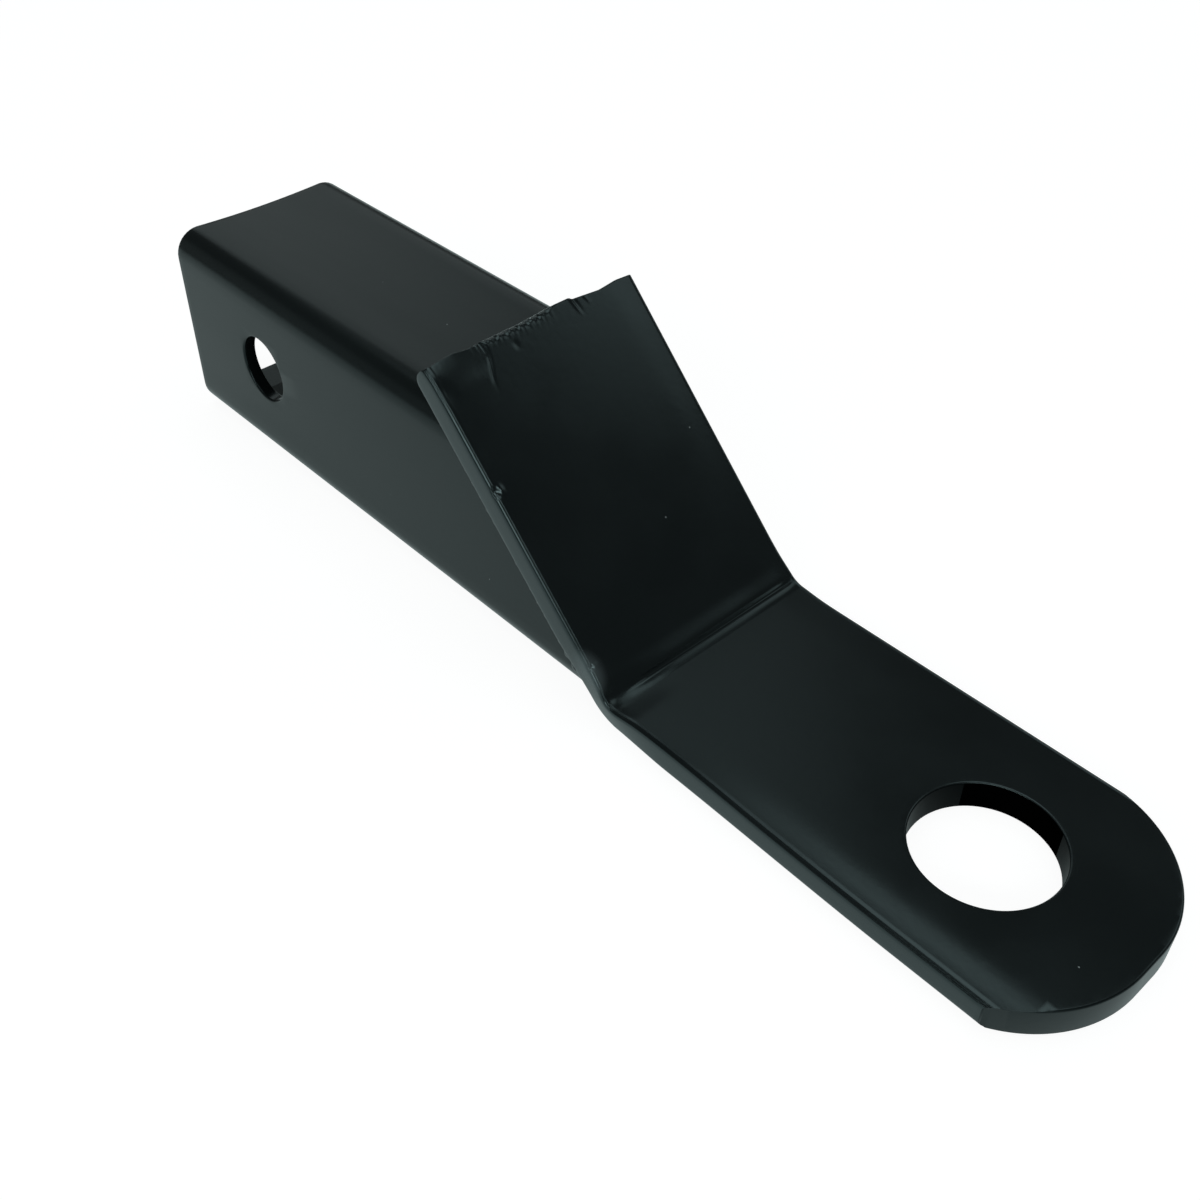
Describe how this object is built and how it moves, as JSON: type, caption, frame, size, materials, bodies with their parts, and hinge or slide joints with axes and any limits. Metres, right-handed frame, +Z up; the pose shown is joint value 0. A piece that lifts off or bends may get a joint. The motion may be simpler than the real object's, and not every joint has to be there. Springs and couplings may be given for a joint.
{
  "type": "golf cart hitch",
  "caption": "Square tube shank with a hitch pin bore, its mitred end closed by a bent flat bar whose tongue carries a round hole for a hitch ball.",
  "frame": {"origin": "centre of the hitch pin bore, midway between the tube's two side walls", "axes": "+X along the shank towards the tongue, +Y along the pin bore, +Z up along the ball hole"},
  "size_m": [0.2754, 0.0596, 0.0645],
  "materials": {
    "tube_coat": "satin black powder coat",
    "plate_coat": "satin black powder coat",
    "weld_coat": "satin black powder coat over weld ripples"
  },
  "bodies": {
    "root": {"shank_tube": "tube_coat", "tongue_plate": "plate_coat", "weld_top": "weld_coat", "weld_bottom": "weld_coat", "weld_left": "weld_coat", "weld_right": "weld_coat"}
  },
  "joints": []
}
